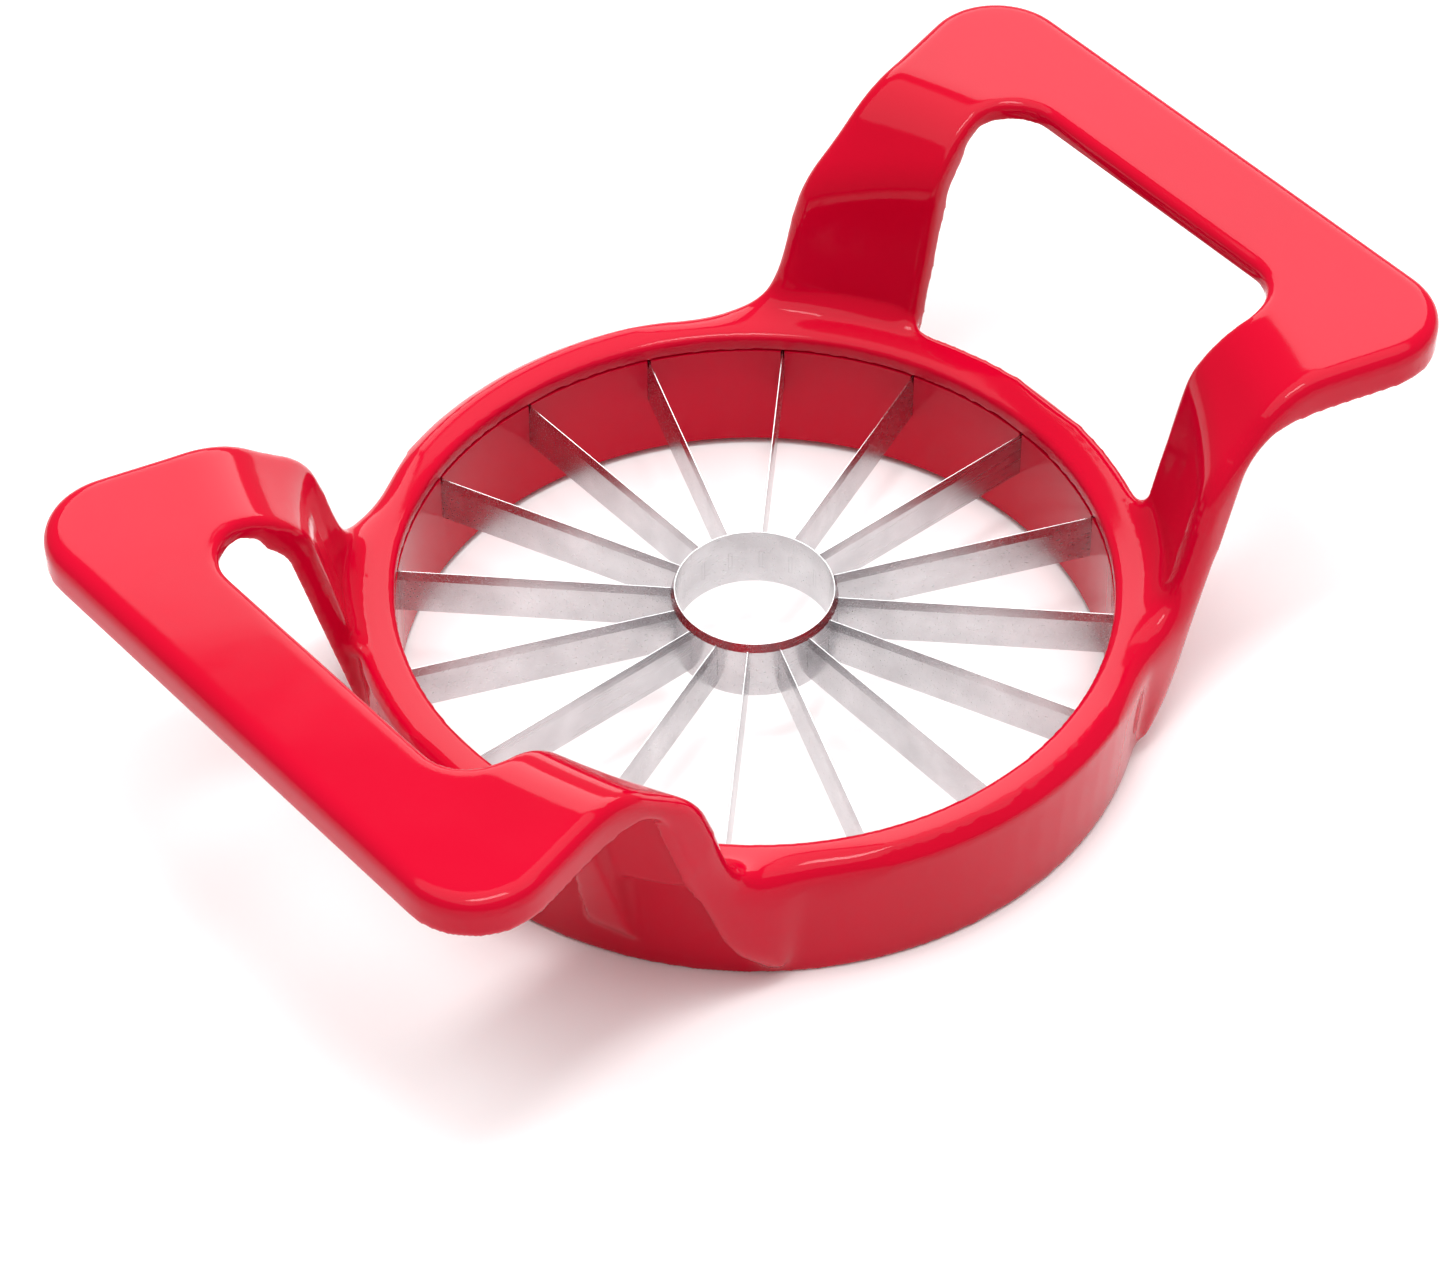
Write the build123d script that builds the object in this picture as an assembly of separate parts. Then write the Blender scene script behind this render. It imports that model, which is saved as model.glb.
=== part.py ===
"""Apple corer and slicer: a one-piece moulded frame with two raised loop handles, which
holds a set of sixteen thin blades around a coring tube.

Frame of reference: Z is the axis of the coring tube and points up, the handles lie along X,
and the table is at z = 0. All sizes are in millimetres.
"""
from build123d import *
from math import radians, sqrt, tan
import os

# Cutting set
SLICES = 16
BLADE_THICKNESS = 0.5
BLADE_BOTTOM_Z = 11.0
BLADE_TOP_Z = 18.4
BLADE_GRIND = 1.5            # height of the ground edge
BLADE_EDGE = 0.1             # thickness left at the top of the ground edge
CORE_BORE_R = 11.2
CORE_WALL = 0.6
CORE_BOTTOM_Z = 9.8
CORE_TOP_Z = 19.4
TAB_BOTTOM_Z = 12.6          # tabs that lock the blades into the coring tube
TAB_TOP_Z = 15.6
SLOT_CLEARANCE = 0.04
SLOT_REACH = 4.0             # slots are cut to this distance on each side of their wall's face
CORE_GRIND = 1.2             # height of the tube's ground edge
CORE_EDGE = 0.1              # thickness left at the top of the tube's ground edge

# Ring of the frame
RING_FOOT_R = 55.0
RIM_Z = 21.9
BORE_R = 50.4
BORE_EDGE_Z = 21.3
RIM_FLAT_R = 53.8            # radius where the rim stops sloping in to the bore
FLANGE_UNDERSIDE_Z = 18.5    # underside of the inward flange that covers the blade ends
WALL = 2.3
RING_LEAN = 5.0              # degrees that the ring's outer wall leans outward
ARM_LEAN = 1.0               # degrees that the arms' and handles' outer walls lean outward
PARTING_Z = 19.0             # above this height the ring's wall is as upright as the arms'
PARTING_STEP = 0.05

# Ring that carries the blade ends and closes the frame from below
CARRIER_BOTTOM_Z = 1.2
CARRIER_GAP = 0.05

# Upper surface: a steep rise around the ring, then an incline that levels into each handle
HANDLE_TOP_Z = 52.5
RISE_FOOT_R = 56.75
RISE_ANGLE = 76.5
RIM_FILLET = 2.5             # hollow between the rim and the rise
INCLINE_ANGLE = 42.0
INCLINE_AXIS_X = 40.0        # the incline turns about an axis set back from the ring's axis
INCLINE_END_R = 107.6        # where the incline's line would meet the handle's level
INCLINE_LOW_Z = 30.0         # the incline stops here, where the rise lies below it
LEVEL_BEND_R = 14.5
CREST_R = 10.0               # rounded crest between the rise and the incline

# Plan outline of the frame at the height of the handles' top
HANDLE_END_X = 89.4
HANDLE_SIDE_POINT = (86.0, 51.0)
HANDLE_SIDE_ANGLE = 15.0     # degrees that each handle widens outward
HANDLE_CORNER_R = 11.0
WAIST_R = 53.3               # hollow curve between the ring and the side of a handle
EDGE_ROUND = 2.0
ARM_EDGE_Y = 42.0            # the arms' outer edges all lie beyond this
ARM_ROOT_X = 33.0            # below the parting line the arms' walls start here

# Finger openings
GRIP_INNER_X = 73.4
OPENING_GRIP_Y = 29.8        # half width where the sides would meet the grip
OPENING_RING_Y = 24.4        # half width where the sides would meet x = OPENING_RING_X
OPENING_RING_X = 50.0
OPENING_CORNER_R = 7.0
OPENING_ROUND = 1.2
FLANGE_ROOT = 6.0            # thickness of the opening's flange where it meets the ring

# Lower edge of the skirt: an ogee about an axis set back from the ring's own axis
SKIRT_AXIS_X = 16.0
SKIRT_ANGLE = 75.0
SKIRT_Z = 46.4
LIP_Z = 49.4
SKIRT_BEND_R = 8.0
LIP_BEND_R = 6.0
SKIRT_SWEEP_R = 13.0
LIP_SWEEP_R = 12.0
SKIRT_LINE_R = 69.06         # where the line of the steep run would meet the table
LIP_LINE_R = 71.2            # the same for the lip round the opening
SKIRT_DIP = 0.5              # how far the sweep runs below the table, to end in a clean edge

# Choosing the top edges to round
SURFACE_TOLERANCE = 0.05
TOP_EDGE_LOW_Z = 22.5        # rounded top edges stay above the rim
OPENING_EDGE_LOW_Z = 23.0
OPENING_SIDE_Y = 28.8
OPENING_END_Y = 29.0
HANDLE_END_MARGIN = 1.4
UPRIGHT = 0.98               # an edge whose direction climbs more than this is upright

REACH = 130.0                # outside every part of the frame
BELOW = 10.0                 # tools run this far below the table
OVERLAP = 0.01


def spun(face, axis_x=0.0):
    """Turn a face drawn in the XZ plane about the upright axis through (axis_x, 0)."""
    return revolve(face, Axis((axis_x, 0, 0), (0, 0, 1)), 360)


def face_xz(*edges):
    return make_face(Plane.XZ * Wire(list(edges)))


def under_rise(inset):
    """Solid below the ring's rim and the steep rise, both moved in by inset."""
    slope = radians(RISE_ANGLE)
    rim_z = RIM_Z - inset
    edge_z = BORE_EDGE_Z - inset
    inner_r = BORE_R / 2
    top_z = 1.5 * HANDLE_TOP_Z
    foot_r = RISE_FOOT_R + inset * tan(slope / 2)
    end_r = foot_r + (top_z - rim_z) / tan(slope)
    path = FilletPolyline((RIM_FLAT_R, rim_z), (foot_r, rim_z), (end_r, top_z), radius=RIM_FILLET)
    return spun(face_xz(
        Line((inner_r, -BELOW), (inner_r, edge_z)),
        Line((inner_r, edge_z), (BORE_R, edge_z)),
        Line((BORE_R, edge_z), (RIM_FLAT_R, rim_z)),
        *path.edges(),
        Line((end_r, top_z), (REACH, top_z)),
        Line((REACH, top_z), (REACH, -BELOW)),
        Line((REACH, -BELOW), (inner_r, -BELOW)),
    ))


def under_incline(inset):
    """Solid below the +X handle's level and the incline that leads down from it."""
    slope = radians(INCLINE_ANGLE)
    level_z = HANDLE_TOP_Z - inset
    end_r = INCLINE_END_R + inset * tan(slope / 2)
    low_r = end_r - (level_z - INCLINE_LOW_Z) / tan(slope)
    bend_r = LEVEL_BEND_R - inset
    far_r = REACH + INCLINE_AXIS_X
    path = FilletPolyline((low_r, INCLINE_LOW_Z), (end_r, level_z), (far_r, level_z), radius=bend_r)
    section = face_xz(
        Line((0, -BELOW), (0, INCLINE_LOW_Z)),
        Line((0, INCLINE_LOW_Z), (low_r, INCLINE_LOW_Z)),
        *path.edges(),
        Line((far_r, level_z), (far_r, -BELOW)),
        Line((far_r, -BELOW), (0, -BELOW)),
    )
    return spun(Pos(-INCLINE_AXIS_X, 0, 0) * section, -INCLINE_AXIS_X)


def half_space(min_x):
    """Everything beyond min_x on the +X side, out to REACH."""
    return Pos(min_x + REACH, 0, 0) * Box(2 * REACH, 4 * REACH, 4 * REACH)


def under_dish(inset):
    """Solid below the frame's whole upper surface, moved down by inset."""
    return under_rise(inset) & both_sides(under_incline(inset) & half_space(0))


def below_edge(line_r, level_z, bend_r, sweep_r):
    """Solid below the ogee of a lower edge, on the +X side of the set-back axis."""
    slope = radians(SKIRT_ANGLE)
    base_z = -SKIRT_DIP
    low_z = base_z - BELOW
    line_r += base_z / tan(slope)
    top_r = line_r + (level_z - base_z) / tan(slope)
    near_r = line_r - 2 * sweep_r
    far_r = REACH + SKIRT_AXIS_X
    path = FilletPolyline(
        (near_r, base_z), (line_r, base_z), (top_r, level_z), (far_r, level_z),
        radius=(sweep_r, bend_r),
    )
    section = face_xz(
        *path.edges(),
        Line((far_r, level_z), (far_r, low_z)),
        Line((far_r, low_z), (near_r, low_z)),
        Line((near_r, low_z), (near_r, base_z)),
    )
    solid = spun(Pos(-SKIRT_AXIS_X, 0, 0) * section, -SKIRT_AXIS_X)
    return solid & half_space(0)


def frame_plan(inset):
    """Plan of the whole frame at the handles' top, with every side moved in by inset."""
    parting_r = RING_FOOT_R + PARTING_Z * tan(radians(RING_LEAN)) + PARTING_STEP
    ring_r = parting_r + (HANDLE_TOP_Z - PARTING_Z) * tan(radians(ARM_LEAN)) - inset
    waist_r = WAIST_R + inset
    end_x = HANDLE_END_X - inset
    corner_r = HANDLE_CORNER_R - inset
    along = Vector(1, 0).rotate(Axis.Z, HANDLE_SIDE_ANGLE)
    outward = along.rotate(Axis.Z, 90)
    side = Vector(*HANDLE_SIDE_POINT) - outward * inset
    # The waist's centre lies waist_r outside the side, and its arc touches the ring's circle
    base = side + outward * waist_r
    run = base.dot(along)
    travel = sqrt(run**2 - base.dot(base) + (ring_r + waist_r) ** 2) - run
    waist = base + along * travel
    ring_touch = waist * (ring_r / (ring_r + waist_r))
    side_touch = waist - outward * waist_r
    waist_mid = waist + ((ring_touch + side_touch) * 0.5 - waist).normalized() * waist_r
    # The handle's corner, tangent to its side and to its end
    corner_x = end_x - corner_r
    corner_base = side - outward * corner_r
    corner = corner_base + along * ((corner_x - corner_base.X) / along.X)
    corner_start = corner + outward * corner_r
    corner_end = corner + Vector(corner_r, 0)
    corner_mid = corner + (outward + Vector(1, 0)).normalized() * corner_r
    ring_mid = (ring_touch + Vector(0, ring_r)).normalized() * ring_r
    quarter = make_face(Wire([
        ThreePointArc((0, ring_r), ring_mid, ring_touch),
        ThreePointArc(ring_touch, waist_mid, side_touch),
        Line(side_touch, corner_start),
        ThreePointArc(corner_start, corner_mid, corner_end),
        Line(corner_end, (end_x, 0)),
        Line((end_x, 0), (0, 0)),
        Line((0, 0), (0, ring_r)),
    ]))
    half = quarter + mirror(quarter, Plane.XZ)
    return half + mirror(half, Plane.YZ)


def outer_block(inset):
    """Solid inside the ring's and the arms' outer walls, from the table to the handles' top."""
    plan = Pos(0, 0, HANDLE_TOP_Z) * frame_plan(inset)
    block = extrude(plan, HANDLE_TOP_Z, dir=(0, 0, -1), taper=ARM_LEAN)
    between_arms = Box(2 * (ARM_ROOT_X + inset), 2 * REACH, 2 * PARTING_Z)
    return block - between_arms


def ring_cone(height=HANDLE_TOP_Z + 10):
    """Solid cone that the ring's outer wall lies on."""
    top_r = RING_FOOT_R + height * tan(radians(RING_LEAN))
    return Cone(RING_FOOT_R, top_r, height, align=(Align.CENTER, Align.CENTER, Align.MIN))


def opening(grip_grow=0.0, ring_grow=0.0):
    """The +X finger opening up to the ring's wall, wider by grip_grow and by ring_grow."""
    outer_x = GRIP_INNER_X + grip_grow
    outer_y = OPENING_GRIP_Y + grip_grow
    inner_x = OPENING_RING_X - ring_grow
    inner_y = OPENING_RING_Y + ring_grow
    path = FilletPolyline(
        (inner_x, inner_y), (outer_x, outer_y), (outer_x, -outer_y), (inner_x, -inner_y),
        radius=OPENING_CORNER_R + grip_grow)
    closing = Line((inner_x, -inner_y), (inner_x, inner_y))
    prism = extrude(make_face(path.edges() + [closing.edge()]), 2 * HANDLE_TOP_Z)
    return Pos(0, 0, -BELOW) * prism - ring_cone() - Cylinder(RING_FOOT_R, 2 * BELOW)


def both_sides(solid):
    return solid + mirror(solid, Plane.YZ)


def along(edge):
    """Five points spread evenly over an edge."""
    return [edge @ (step / 4) for step in range(5)]


def on_rise(point):
    """True for a point that lies on the steep rise."""
    height = RIM_Z + (sqrt(point.X**2 + point.Y**2) - RISE_FOOT_R) * tan(radians(RISE_ANGLE))
    return abs(height - point.Z) < SURFACE_TOLERANCE


def crest_edges(body):
    """Edges across the arms, where the steep rise meets the incline."""
    return [
        edge for edge in body.edges()
        if all(on_rise(point) and point.Z > INCLINE_LOW_Z for point in along(edge))
        and OPENING_GRIP_Y < abs((edge @ 0.5).Y) < ARM_EDGE_Y
    ]


def top_edges(body, belongs):
    """Edges of the upper surface whose points all pass the test, without the upright ones."""
    return [
        edge for edge in body.edges()
        if all(belongs(point) and point.Z > TOP_EDGE_LOW_Z for point in along(edge))
        and abs(((edge @ 1) - (edge @ 0)).normalized().Z) < UPRIGHT
    ]


def on_outline(point):
    return abs(point.Y) > ARM_EDGE_Y or abs(point.X) > HANDLE_END_X - HANDLE_END_MARGIN


def on_opening(point):
    beside = OPENING_RING_Y < abs(point.Y) < OPENING_SIDE_Y
    by_the_grip = abs(point.X) > GRIP_INNER_X - OPENING_CORNER_R and abs(point.Y) < OPENING_END_Y
    inside = OPENING_RING_X < abs(point.X) < GRIP_INNER_X + SURFACE_TOLERANCE
    return inside and point.Z > OPENING_EDGE_LOW_Z and (beside or by_the_grip)


def arms_of(body):
    """The arms and handles outside the ring's wall, hollowed and trimmed from below."""
    arms = body - ring_cone()
    arms -= both_sides(below_edge(SKIRT_LINE_R, SKIRT_Z, SKIRT_BEND_R, SKIRT_SWEEP_R))
    arms -= (outer_block(WALL) & under_dish(WALL)) - both_sides(opening(WALL, FLANGE_ROOT))
    lip_zone = opening(WALL + OVERLAP, FLANGE_ROOT + OVERLAP)
    return arms - both_sides(below_edge(LIP_LINE_R, LIP_Z, LIP_BEND_R, LIP_SWEEP_R) & lip_zone)


def ring_of(body):
    """The ring's wall and rim, with its bore and the pocket for the blade carrier."""
    pocket = Cylinder(RING_FOOT_R - WALL, 2 * FLANGE_UNDERSIDE_Z)
    return (body & ring_cone()) - Cylinder(BORE_R, 4 * HANDLE_TOP_Z) - pocket


def frame():
    """Moulded frame: ring, four arms and two handles in one piece, hollow from below."""
    body = (outer_block(0) + ring_cone(PARTING_Z)) & under_dish(0)
    body -= both_sides(opening())
    body = fillet(crest_edges(body), CREST_R)
    body = fillet(top_edges(body, on_outline), EDGE_ROUND)
    body = fillet(top_edges(body, on_opening), OPENING_ROUND)
    return ring_of(body) + arms_of(body)


def blade(index):
    """One blade strip, ground on both sides of its top edge, with its locking tab."""
    half = BLADE_THICKNESS / 2
    tip = BLADE_EDGE / 2
    grind_z = BLADE_TOP_Z - BLADE_GRIND
    core_r = CORE_BORE_R + CORE_WALL
    outer_r = RING_FOOT_R - WALL - CARRIER_GAP
    section = make_face(Plane.YZ * Polyline(
        (-half, BLADE_BOTTOM_Z), (half, BLADE_BOTTOM_Z), (half, grind_z), (tip, BLADE_TOP_Z),
        (-tip, BLADE_TOP_Z), (-half, grind_z), (-half, BLADE_BOTTOM_Z)))
    strip = Pos(core_r, 0, 0) * extrude(section, outer_r - core_r, dir=(1, 0, 0))
    tab_size = (CORE_WALL, BLADE_THICKNESS, TAB_TOP_Z - TAB_BOTTOM_Z)
    tab = Pos(core_r - CORE_WALL / 2, 0, (TAB_TOP_Z + TAB_BOTTOM_Z) / 2) * Box(*tab_size)
    return Rot(0, 0, index * 360 / SLICES) * (strip + tab)


def coring_tube():
    """Steel tube with a ground top edge and a slot for each blade's tab."""
    outer_r = CORE_BORE_R + CORE_WALL
    section = make_face(Plane.XZ * Polyline(
        (CORE_BORE_R, CORE_BOTTOM_Z), (outer_r, CORE_BOTTOM_Z), (outer_r, CORE_TOP_Z - CORE_GRIND),
        (CORE_BORE_R + CORE_EDGE, CORE_TOP_Z), (CORE_BORE_R, CORE_TOP_Z), (CORE_BORE_R, CORE_BOTTOM_Z)))
    tube = spun(section)
    slot_height = TAB_TOP_Z - TAB_BOTTOM_Z + SLOT_CLEARANCE
    slot = Box(2 * SLOT_REACH, BLADE_THICKNESS + SLOT_CLEARANCE, slot_height)
    slot = Pos(outer_r, 0, (TAB_TOP_Z + TAB_BOTTOM_Z) / 2) * slot
    return tube - [Rot(0, 0, i * 360 / SLICES) * slot for i in range(SLICES)]


def blade_carrier():
    """Ring inside the frame's foot, with a slot for the outer end of each blade."""
    outer_r = RING_FOOT_R - WALL - CARRIER_GAP
    height = FLANGE_UNDERSIDE_Z - CARRIER_BOTTOM_Z
    ring = extrude(Circle(outer_r) - Circle(BORE_R), height)
    ring = Pos(0, 0, CARRIER_BOTTOM_Z) * ring
    slot_height = FLANGE_UNDERSIDE_Z - BLADE_BOTTOM_Z
    slot = Box(2 * SLOT_REACH, BLADE_THICKNESS + SLOT_CLEARANCE, slot_height)
    slot = Pos(outer_r, 0, BLADE_BOTTOM_Z + slot_height / 2) * slot
    return ring - [Rot(0, 0, i * 360 / SLICES) * slot for i in range(SLICES)]


def main():
    os.makedirs("parts", exist_ok=True)
    parts = {
        "frame": frame(),
        "blade_carrier_ring": blade_carrier(),
        "coring_tube": coring_tube(),
    }
    for index in range(SLICES):
        parts[f"blade_{index + 1:02d}"] = blade(index)
    for name, shape in parts.items():
        export_step(shape, f"parts/{name}.step")


main()
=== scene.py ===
"""Visual model of the apple slicer and corer: a glossy red moulded frame with two loop handles,
sixteen steel blades and a coring tube, on a white studio floor.

Everything is in metres, in the frame of the CAD model: Z up along the coring tube, handles on X.
"""
from math import cos, hypot, pi, radians, sin

import bpy
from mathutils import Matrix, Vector


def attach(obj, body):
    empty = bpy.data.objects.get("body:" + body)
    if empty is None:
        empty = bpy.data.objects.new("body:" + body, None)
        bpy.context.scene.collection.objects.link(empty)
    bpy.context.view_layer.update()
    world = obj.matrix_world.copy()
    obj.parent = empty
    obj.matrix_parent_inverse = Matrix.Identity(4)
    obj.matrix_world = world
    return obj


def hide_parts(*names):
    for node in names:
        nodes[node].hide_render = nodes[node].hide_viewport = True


# Camera
CAMERA_AZIMUTH = radians(-40.09)
CAMERA_ELEVATION = radians(45.11)
CAMERA_TARGET = Vector((0.00206, 0.00943, 0.0))
CAMERA_DISTANCE = 0.7909
LENS_MM = 137.0
SENSOR_MM = 36.0

# Softening of the moulded frame
FRAME_VOXEL = 0.0005
FRAME_SMOOTHING = 10    # passes over the whole frame
ROOT_SMOOTHING = 240    # further passes over the arms' roots and the rim's outer edge
SMOOTH_FACTOR = 0.5
ROOT_TOP = Vector((0.0340, 0.0465, 0.0240))   # where the arm on the +X +Y side leaves the ring
ROOT_REACH = 0.015
ROOT_KEEP_R = 0.052     # the bore's edge and the foot get no further smoothing
ROOT_KEEP_Z = 0.001
ROOT_FADE = 0.004
RIM_EDGE_R = 0.0568
RIM_EDGE_Z = 0.0225
RIM_EDGE_REACH = 0.0022
WEIGHT_GAIN = 1.6       # widens the part of each soft zone that is smoothed in full
WEIGHT_LEVELS = 10

# Studio
FLOOR_HALF = 4.0
WORLD_STRENGTH = 0.40
LIGHTS = {
    # name: (azimuth and elevation in degrees, distance, (width, height), power in watts)
    "overhead": (0.0, 88.0, 1.6, (2.2, 2.0), 30.0),
    "edge_strip": (0.0, 84.0, 1.4, (0.55, 0.22), 6.5),
    "back_key": (135.0, 33.0, 1.8, (1.35, 0.95), 17.0),
}

BLADES = 16


def direction(azimuth, elevation):
    """Unit vector from the object toward a camera or light; azimuth 0 is on the -Y side."""
    flat = cos(elevation)
    return Vector((sin(azimuth) * flat, -cos(azimuth) * flat, sin(elevation)))


class Nodes:
    """Short calls for building one material's node tree."""

    def __init__(self, name):
        self.material = bpy.data.materials.new(name)
        self.material.use_nodes = True
        self.tree = self.material.node_tree
        self.tree.nodes.clear()
        self.shader = self.add("ShaderNodeBsdfPrincipled")
        output = self.add("ShaderNodeOutputMaterial")
        self.link(self.shader.outputs["BSDF"], output.inputs["Surface"])

    def add(self, kind, **values):
        node = self.tree.nodes.new(kind)
        for key, value in values.items():
            setattr(node, key, value)
        return node

    def link(self, source, target):
        self.tree.links.new(source, target)

    def noise(self, vector, scale, detail):
        node = self.add("ShaderNodeTexNoise")
        node.inputs["Scale"].default_value = scale
        node.inputs["Detail"].default_value = detail
        self.link(vector, node.inputs["Vector"])
        return node.outputs["Fac"]

    def ramp(self, factor, stops):
        node = self.add("ShaderNodeValToRGB")
        elements = node.color_ramp.elements
        while len(elements) < len(stops):
            elements.new(0.5)
        for element, (position, colour) in zip(elements, stops):
            element.position = position
            element.color = (*colour, 1.0)
        self.link(factor, node.inputs["Fac"])
        return node.outputs["Color"]

    def spread(self, value, low, high):
        node = self.add("ShaderNodeMapRange")
        node.inputs["To Min"].default_value = low
        node.inputs["To Max"].default_value = high
        self.link(value, node.inputs["Value"])
        return node.outputs["Result"]

    def bump(self, height, distance, strength, normal=None):
        node = self.add("ShaderNodeBump")
        node.inputs["Distance"].default_value = distance
        node.inputs["Strength"].default_value = strength
        self.link(height, node.inputs["Height"])
        if normal is not None:
            self.link(normal, node.inputs["Normal"])
        return node.outputs["Normal"]

    def object_vector(self, scale=(1.0, 1.0, 1.0), turn=0.0):
        """Object coordinates, stretched and then turned about Z."""
        coordinates = self.add("ShaderNodeTexCoord")
        mapping = self.add("ShaderNodeMapping")
        mapping.inputs["Scale"].default_value = scale
        mapping.inputs["Rotation"].default_value = (0.0, 0.0, turn)
        self.link(coordinates.outputs["Object"], mapping.inputs["Vector"])
        return mapping.outputs["Vector"]


def red_plastic():
    """Polished moulded plastic: slow colour drift, uneven gloss and faint orange peel."""
    m = Nodes("red_gloss_plastic")
    place = m.object_vector()
    drift = m.noise(place, scale=22.0, detail=2.0)
    colour = m.ramp(drift, [
        (0.30, (0.490, 0.0006, 0.0160)),
        (0.70, (0.550, 0.0010, 0.0215)),
    ])
    m.link(colour, m.shader.inputs["Base Color"])
    gloss = m.noise(place, scale=140.0, detail=4.0)
    m.link(m.spread(gloss, low=0.05, high=0.11), m.shader.inputs["Roughness"])
    peel = m.noise(place, scale=420.0, detail=2.0)
    swell = m.noise(place, scale=55.0, detail=1.0)
    normal = m.bump(swell, distance=0.0002, strength=0.25)
    normal = m.bump(peel, distance=0.00001, strength=0.35, normal=normal)
    m.link(normal, m.shader.inputs["Normal"])
    m.shader.inputs["IOR"].default_value = 1.53
    m.shader.inputs["Specular IOR Level"].default_value = 0.13
    return m.material


def blade_steel(name, turn=0.0):
    """Rolled steel with a fine grain along X and a patchy colour; turn varies the grain."""
    m = Nodes(name)
    stretched = m.object_vector((60.0, 4000.0, 4000.0), turn)
    grain = m.noise(stretched, scale=1.0, detail=3.0)
    patch = m.noise(m.object_vector(), scale=160.0, detail=3.0)
    colour = m.ramp(patch, [
        (0.25, (0.50, 0.50, 0.51)),
        (0.75, (0.66, 0.66, 0.67)),
    ])
    m.link(colour, m.shader.inputs["Base Color"])
    m.shader.inputs["Metallic"].default_value = 1.0
    m.link(m.spread(grain, low=0.16, high=0.34), m.shader.inputs["Roughness"])
    m.link(m.bump(grain, distance=0.000012, strength=0.5), m.shader.inputs["Normal"])
    return m.material


def floor_material():
    """White studio paper with a barely visible mottle."""
    m = Nodes("white_floor")
    mottle = m.noise(m.object_vector(), scale=6.0, detail=2.0)
    colour = m.ramp(mottle, [(0.3, (0.93, 0.93, 0.93)), (0.7, (0.95, 0.95, 0.95))])
    m.link(colour, m.shader.inputs["Base Color"])
    m.shader.inputs["Roughness"].default_value = 0.8
    m.shader.inputs["Specular IOR Level"].default_value = 0.1
    return m.material


def clamped(value):
    return max(0.0, min(1.0, value))


def root_weight(point):
    """1 in the middle of an arm's root or on the rim's outer edge, falling to 0 around them."""
    radius = hypot(point.x, point.y)
    above = max(0.0, point.z - ROOT_TOP.z)
    folded = Vector((abs(point.x), abs(point.y), ROOT_TOP.z + above))
    root = 1.0 - (folded - ROOT_TOP).length / ROOT_REACH
    rim = 1.0 - hypot(radius - RIM_EDGE_R, point.z - RIM_EDGE_Z) / RIM_EDGE_REACH
    kept = min(clamped((radius - ROOT_KEEP_R) / ROOT_FADE),
               clamped((point.z - ROOT_KEEP_Z) / ROOT_FADE))
    return max(clamped(WEIGHT_GAIN * root) * kept, clamped(WEIGHT_GAIN * rim))


def mark_roots(piece):
    """Vertex group that holds the weights for the further smoothing, in even steps."""
    levels = {}
    for vertex in piece.data.vertices:
        level = round(WEIGHT_LEVELS * root_weight(vertex.co))
        if level:
            levels.setdefault(level, []).append(vertex.index)
    group = piece.vertex_groups.new(name="roots")
    for level, indices in levels.items():
        group.add(indices, level / WEIGHT_LEVELS, "REPLACE")


def remeshed_copy(cad_piece):
    """A copy of a CAD piece in even small faces."""
    rough = bpy.data.objects.new("frame_rough", cad_piece.data.copy())
    bpy.context.scene.collection.objects.link(rough)
    remesh = rough.modifiers.new("remesh", "REMESH")
    remesh.mode = "VOXEL"
    remesh.voxel_size = FRAME_VOXEL
    ready = rough.evaluated_get(bpy.context.evaluated_depsgraph_get())
    mesh = bpy.data.meshes.new_from_object(ready)
    rough.modifiers.clear()
    rough.data = mesh
    return rough


def add_smoothing(piece, passes, group=""):
    smooth = piece.modifiers.new("smooth", "SMOOTH")
    smooth.factor = SMOOTH_FACTOR
    smooth.iterations = passes
    smooth.vertex_group = group


def soften_frame(cad_piece):
    """A copy of the moulded frame whose edges and inner corners are rounded like a real moulding."""
    rough = remeshed_copy(cad_piece)
    mark_roots(rough)
    add_smoothing(rough, FRAME_SMOOTHING)
    add_smoothing(rough, ROOT_SMOOTHING, "roots")
    ready = rough.evaluated_get(bpy.context.evaluated_depsgraph_get())
    mesh = bpy.data.meshes.new_from_object(ready)
    mesh.name = "moulded_frame"
    bpy.data.objects.remove(rough)
    mesh.shade_smooth()
    piece = bpy.data.objects.new("moulded_frame", mesh)
    bpy.context.scene.collection.objects.link(piece)
    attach(piece, "root")
    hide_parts("frame")
    return piece


def paint(piece, material):
    piece.data.materials.clear()
    piece.data.materials.append(material)


def add_floor():
    mesh = bpy.data.meshes.new("studio_floor")
    corners = [(-1, -1), (1, -1), (1, 1), (-1, 1)]
    mesh.from_pydata([(FLOOR_HALF * x, FLOOR_HALF * y, 0.0) for x, y in corners], [],
                     [(0, 1, 2, 3)])
    piece = bpy.data.objects.new("studio_floor", mesh)
    bpy.context.scene.collection.objects.link(piece)
    paint(piece, floor_material())


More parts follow.
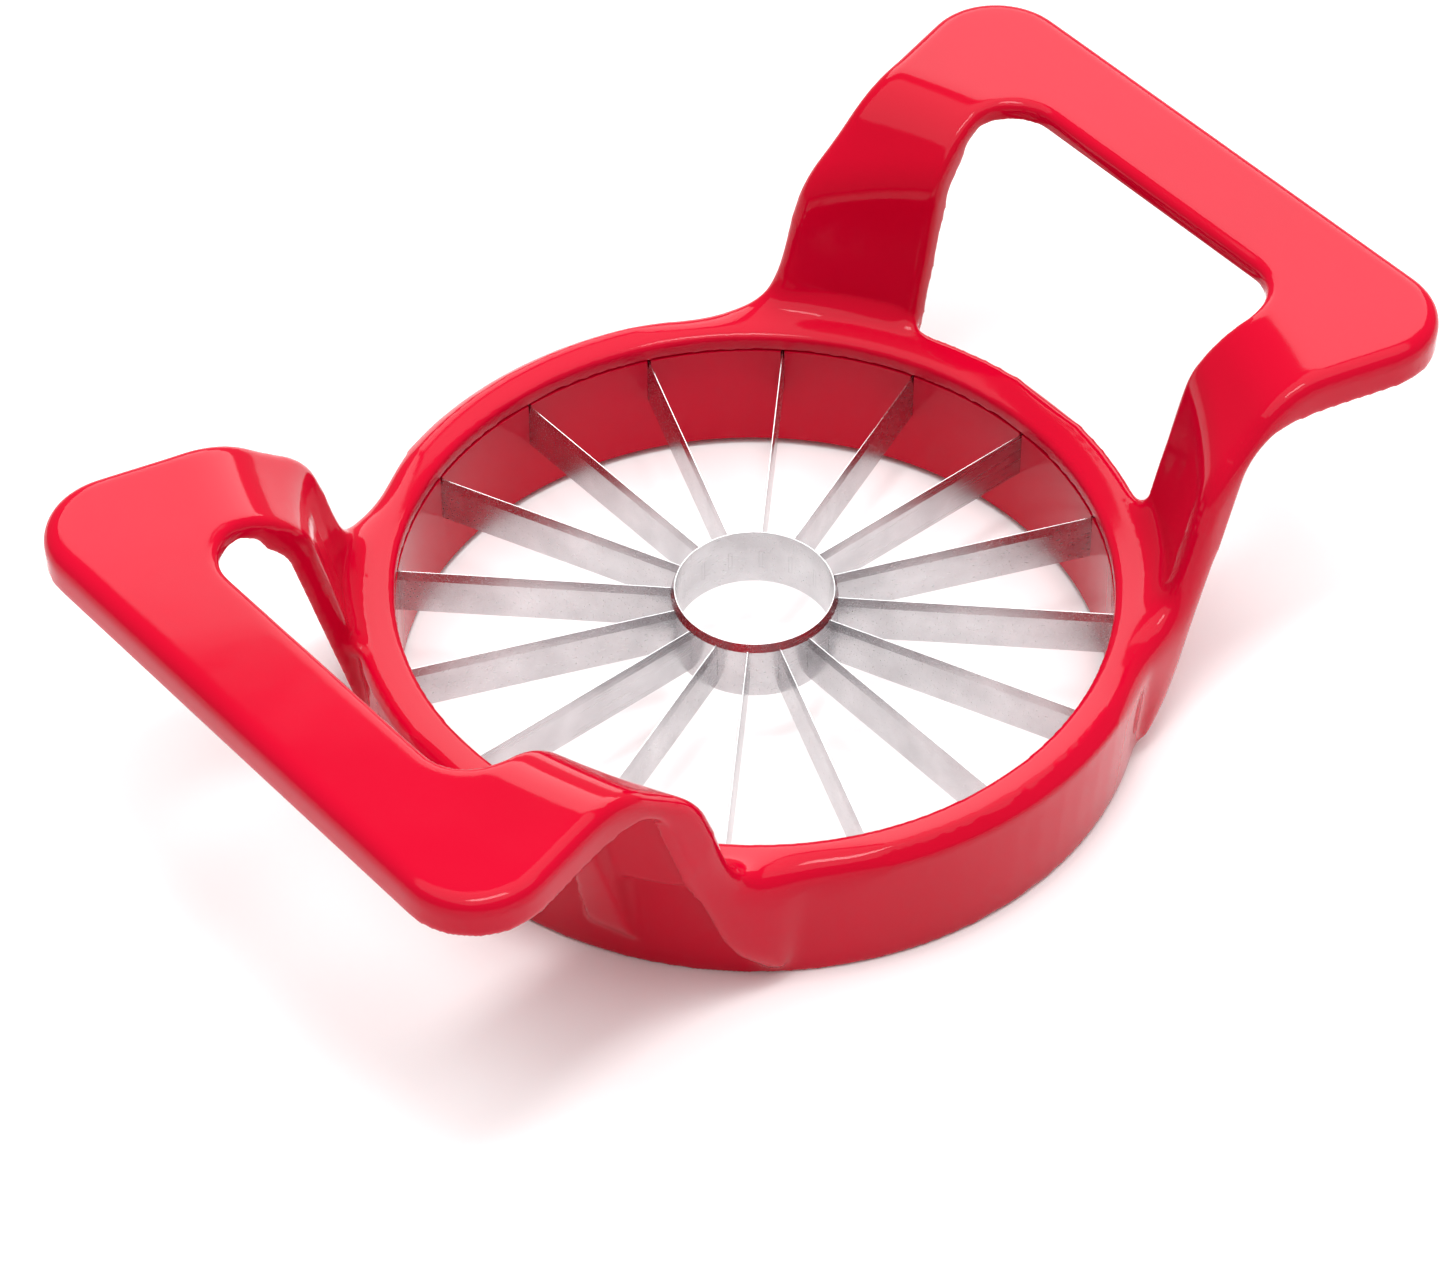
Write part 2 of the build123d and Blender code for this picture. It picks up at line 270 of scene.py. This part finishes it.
def add_area_light(name, azimuth, elevation, distance, size, power):
    """A rectangular soft box that looks at the middle of the object."""
    data = bpy.data.lights.new(name, "AREA")
    data.shape = "RECTANGLE"
    data.size, data.size_y = size
    data.energy = power
    lamp = bpy.data.objects.new(name, data)
    bpy.context.scene.collection.objects.link(lamp)
    a, e = radians(azimuth), radians(elevation)
    lamp.location = direction(a, e) * distance
    lamp.rotation_euler = (pi / 2 - e, 0.0, a)


def add_world():
    world = bpy.data.worlds.new("studio_white")
    world.use_nodes = True
    background = world.node_tree.nodes["Background"]
    background.inputs["Color"].default_value = (1.0, 1.0, 1.0, 1.0)
    background.inputs["Strength"].default_value = WORLD_STRENGTH
    bpy.context.scene.world = world


def add_camera():
    data = bpy.data.cameras.new("photo_camera")
    data.lens = LENS_MM
    data.sensor_width = SENSOR_MM
    data.sensor_fit = "HORIZONTAL"
    data.clip_start = 0.01
    data.clip_end = 50.0
    camera = bpy.data.objects.new("photo_camera", data)
    bpy.context.scene.collection.objects.link(camera)
    back = direction(CAMERA_AZIMUTH, CAMERA_ELEVATION)
    camera.location = CAMERA_TARGET + back * CAMERA_DISTANCE
    camera.rotation_euler = (pi / 2 - CAMERA_ELEVATION, 0.0, CAMERA_AZIMUTH)
    bpy.context.scene.camera = camera


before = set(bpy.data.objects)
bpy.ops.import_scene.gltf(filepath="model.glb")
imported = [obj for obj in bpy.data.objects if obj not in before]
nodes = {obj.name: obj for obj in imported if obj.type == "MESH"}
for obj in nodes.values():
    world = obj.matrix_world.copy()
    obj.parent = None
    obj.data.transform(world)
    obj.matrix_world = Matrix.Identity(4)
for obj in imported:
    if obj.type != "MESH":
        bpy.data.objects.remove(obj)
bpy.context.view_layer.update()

red = red_plastic()
paint(soften_frame(nodes["frame"]), red)
paint(nodes["blade_carrier_ring"], red)
paint(nodes["coring_tube"], blade_steel("tube_steel"))
for index in range(BLADES):
    turn = -index * 2 * pi / BLADES
    paint(nodes[f"blade_{index + 1:02d}"], blade_steel(f"blade_steel_{index + 1:02d}", turn))

add_floor()
add_world()
for name, settings in LIGHTS.items():
    add_area_light(name, *settings)
add_camera()

scene = bpy.context.scene
scene.view_settings.view_transform = "Standard"
